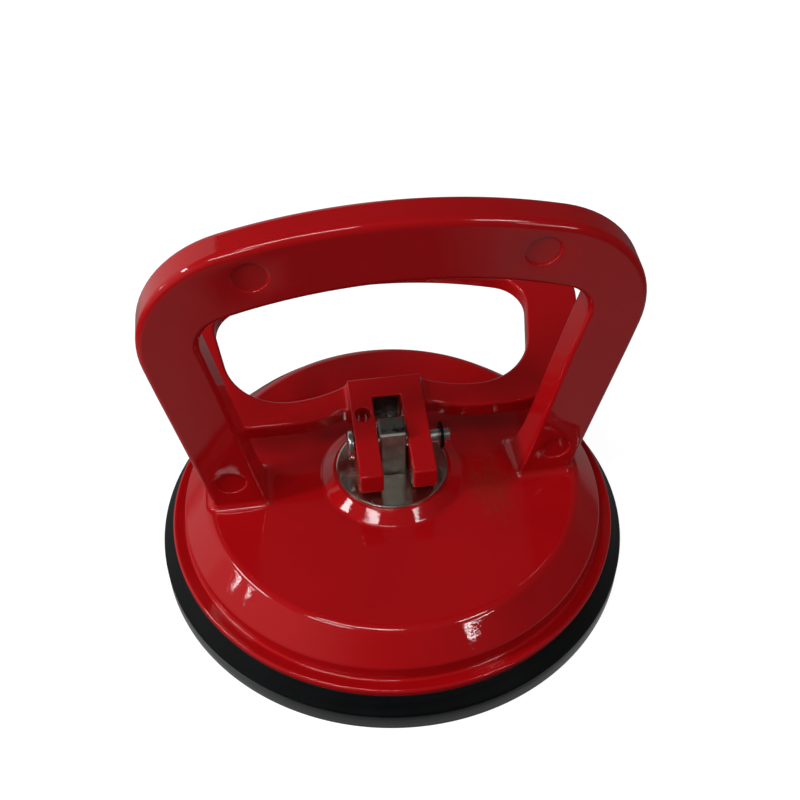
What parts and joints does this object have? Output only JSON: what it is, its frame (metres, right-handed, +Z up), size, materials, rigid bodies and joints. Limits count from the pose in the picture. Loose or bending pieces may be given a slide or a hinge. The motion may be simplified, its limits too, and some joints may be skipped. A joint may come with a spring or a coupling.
{
  "type": "suction cup lifter",
  "caption": "Hand suction lifter: a round rubber pad under a red cast dish, a fixed bow handle and a cam lever that draws the middle of the pad up.",
  "frame": {"origin": "centre of the pad's working face", "axes": "+Z up out of the dish, X along the handle, -Y the front, where the prongs of the lever point"},
  "size_m": [0.118, 0.1231, 0.1072],
  "materials": {
    "red_paint": "gloss",
    "steel": "satin",
    "polished_steel": "polished",
    "black_steel": "black oxide",
    "rubber": "matt"
  },
  "bodies": {
    "base": {"rubber_pad": "rubber", "dish": "red_paint", "wear_washer": "polished_steel", "handle_bow": "red_paint", "handle_screws": "black_steel", "handle_lock_washers": "steel", "return_spring": "steel"},
    "stud": {"pull_stud": "steel", "backing_plate": "steel", "lever_pin": "steel", "pin_clip": "black_steel"},
    "lever": {"lever": "red_paint"}
  },
  "joints": [
    {"name": "stud_lift", "type": "slide", "parent": "base", "child": "stud", "axis": [0, 0, 1], "range_m": [0, 0.004], "stiffness_N_per_m": 300, "springref_m": -0.002, "deforming": ["return_spring"]},
    {"name": "lever_swing", "type": "hinge", "parent": "stud", "child": "lever", "pos_m": [0, 0, 0.033], "axis": [1, 0, 0], "range_deg": [0, 54]}
  ],
  "couplings": [
    {"joint": "stud_lift", "follows": "lever_swing", "m_per_rad": 0.0041}
  ]
}
